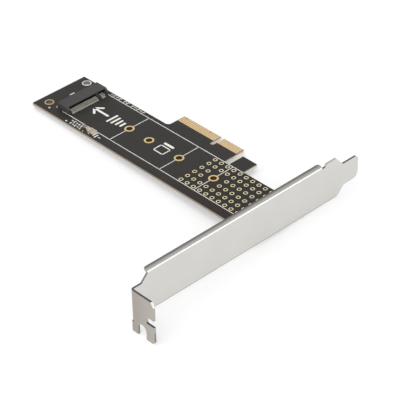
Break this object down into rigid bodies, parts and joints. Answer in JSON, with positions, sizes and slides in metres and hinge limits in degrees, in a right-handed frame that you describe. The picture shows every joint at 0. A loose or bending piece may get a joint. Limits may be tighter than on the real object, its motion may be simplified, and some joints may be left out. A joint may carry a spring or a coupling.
{
  "type": "nvme adapter card",
  "caption": "Expansion card that holds a solid-state storage module flat in an edge socket, with screw holes for its lengths, an edge connector and a folded slot bracket.",
  "frame": {"origin": "middle of the key notch at the finger tips, on the solder side of the board", "axes": "+X runs along the card to the slot bracket, +Y points out of the finger tips, +Z is the component side"},
  "size_m": [0.1444, 0.12, 0.0235],
  "materials": {
    "board_lacquer": "charcoal solder lacquer over glass-fibre board",
    "gold_plating": "thin hard gold over copper",
    "socket_plastic": "moulded black plastic",
    "contact_alloy": "gold flashed spring contacts",
    "tinned_metal": "matt tin",
    "tan_ceramic": "fired ceramic",
    "brown_ceramic": "fired ceramic",
    "bracket_steel": "satin nickel plated sheet steel",
    "screw_steel": "nickel plated steel"
  },
  "bodies": {
    "root": {"circuit_board": "board_lacquer", "component_side_contacts": "gold_plating", "solder_side_contacts": "gold_plating", "plated_hole_30": "gold_plating", "plated_hole_42": "gold_plating", "plated_hole_60": "gold_plating", "plated_hole_80": "gold_plating", "corner_hole_lower": "tinned_metal", "corner_hole_upper": "tinned_metal", "socket_housing": "socket_plastic", "socket_contacts_lower": "contact_alloy", "socket_contacts_upper": "contact_alloy", "hold_down_lower": "tinned_metal", "hold_down_upper": "tinned_metal", "large_chip_ceramic": "tan_ceramic", "large_chip_ends": "tinned_metal", "small_chip_ceramic": "brown_ceramic", "small_chip_ends": "tinned_metal", "slot_bracket": "bracket_steel", "bracket_screws": "screw_steel"}
  },
  "joints": []
}
